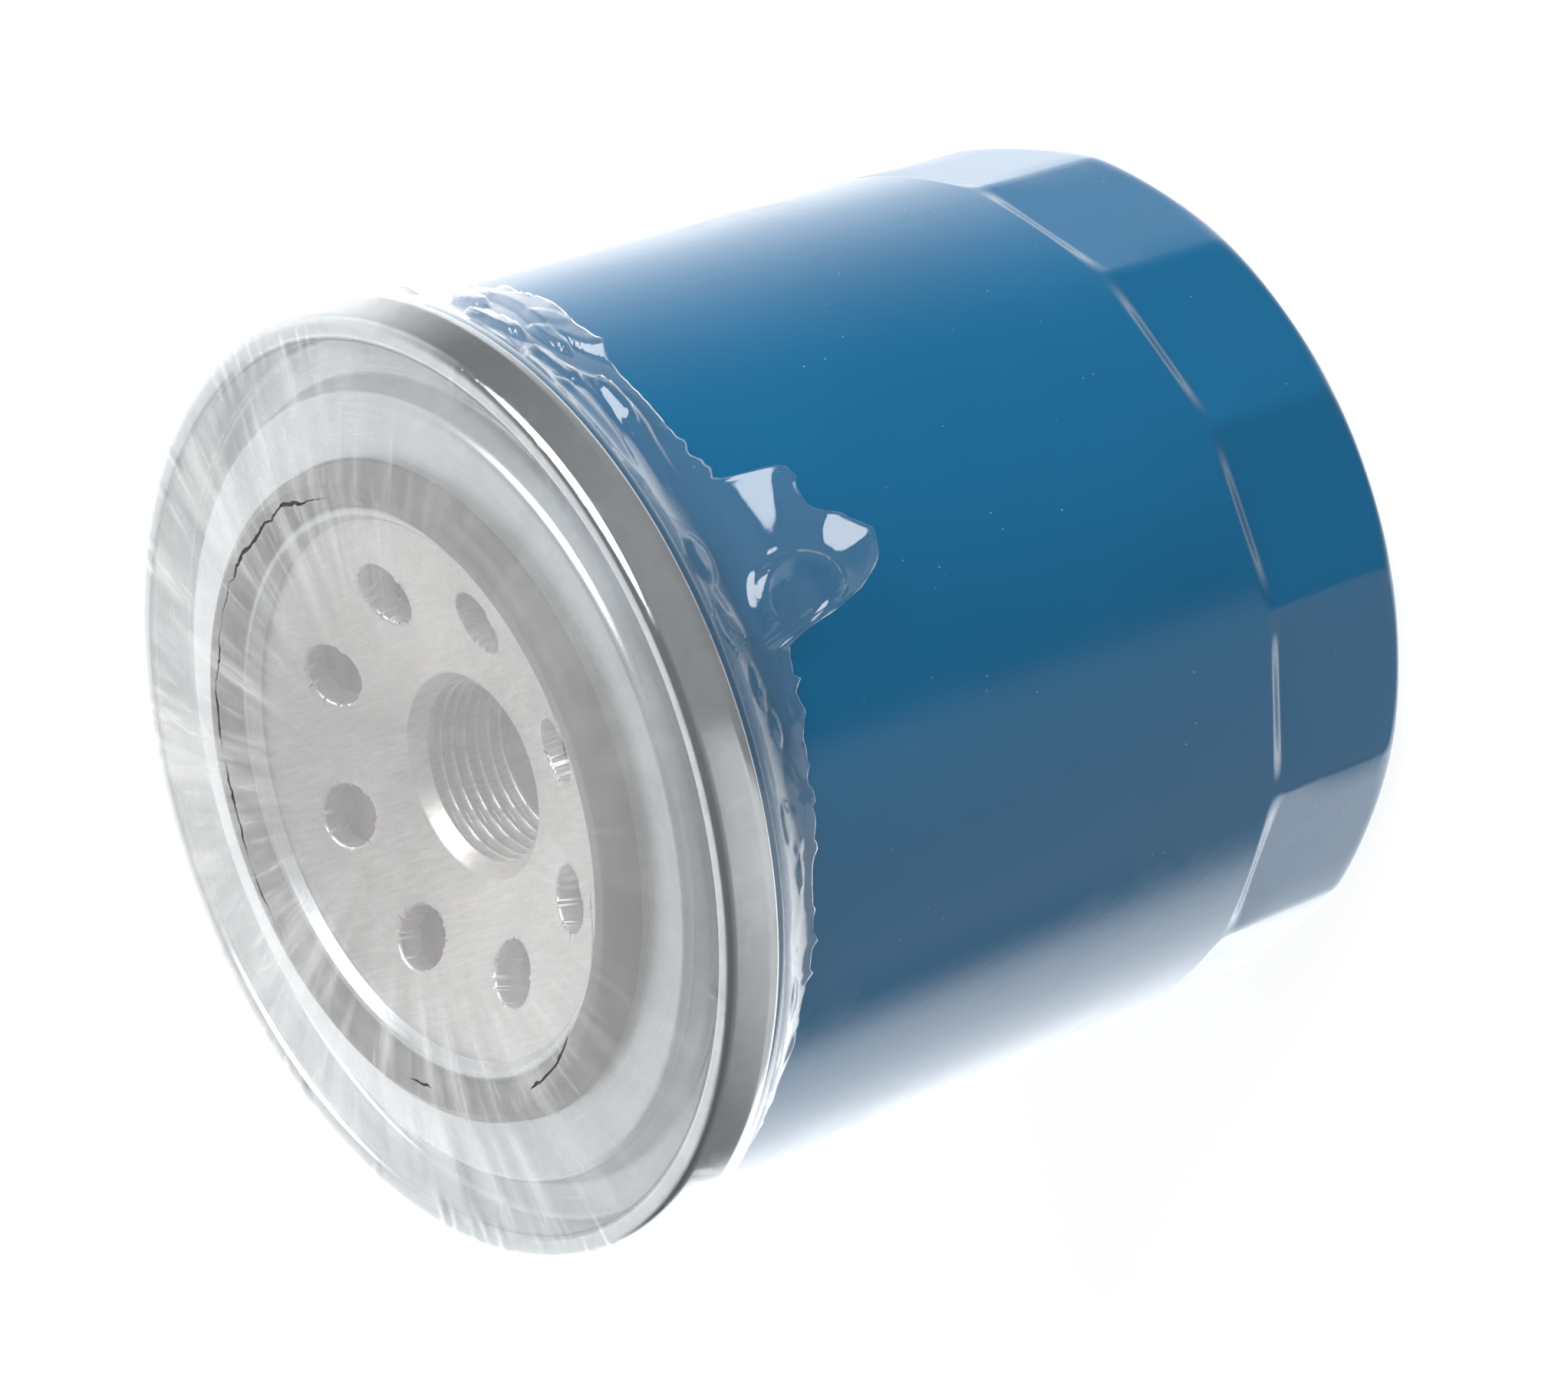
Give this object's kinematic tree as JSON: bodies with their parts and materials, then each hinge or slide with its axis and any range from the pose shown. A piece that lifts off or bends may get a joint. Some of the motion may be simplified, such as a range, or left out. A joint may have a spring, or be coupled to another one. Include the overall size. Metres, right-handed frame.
{
  "type": "spin-on oil filter",
  "caption": "Spin-on engine oil filter: painted can with wrench flats, seamed lid, threaded base plate, rubber gasket, pleated element and a clear dust film over the threaded end.",
  "frame": {"origin": "centre of the closed end, on the surface that the filter stands on", "axes": "+Z along the can's axis towards the threaded end; +X through the middle of an inlet hole and a corner between two wrench flats"},
  "size_m": [0.0994, 0.0994, 0.0947],
  "materials": {
    "can_paint": "gloss",
    "zinc_lid": "satin",
    "plate_steel": "brushed",
    "gasket_rubber": "matte",
    "valve_rubber": "matte",
    "sealant": "matte",
    "cap_steel": "satin",
    "spring_steel": "bright drawn",
    "filter_paper": "resin-cured paper",
    "adhesive": "cured",
    "clear_film": "clear gloss"
  },
  "bodies": {
    "housing": {"canister": "can_paint", "seaming_lid": "zinc_lid", "seam_sealant": "sealant", "base_plate": "plate_steel", "sealing_gasket": "gasket_rubber", "anti_drain_valve": "valve_rubber", "hold_down_spring": "spring_steel"},
    "element": {"upper_end_cap": "cap_steel", "upper_cap_adhesive": "adhesive", "centre_tube": "cap_steel", "filter_media": "filter_paper", "media_seam_clip": "cap_steel", "lower_cap_adhesive": "adhesive", "lower_end_cap": "cap_steel", "bypass_seat": "cap_steel", "bypass_cage": "cap_steel", "bypass_spring": "spring_steel"},
    "poppet": {"bypass_poppet": "cap_steel", "bypass_seal": "gasket_rubber"},
    "film": {"shrink_film": "clear_film"}
  },
  "joints": [
    {"name": "element_float", "type": "slide", "parent": "housing", "child": "element", "axis": [0, 0, -1], "range_m": [0, 0.0015], "stiffness_N_per_m": 6000, "springref_m": -0.008, "deforming": ["hold_down_spring"]},
    {"name": "bypass_lift", "type": "slide", "parent": "element", "child": "poppet", "axis": [0, 0, 1], "range_m": [0, 0.004], "stiffness_N_per_m": 1200, "springref_m": -0.011, "deforming": ["bypass_spring"]},
    {"name": "film_pull", "type": "slide", "parent": "housing", "child": "film", "axis": [0, 0, 1], "range_m": [0, 0.1]}
  ]
}
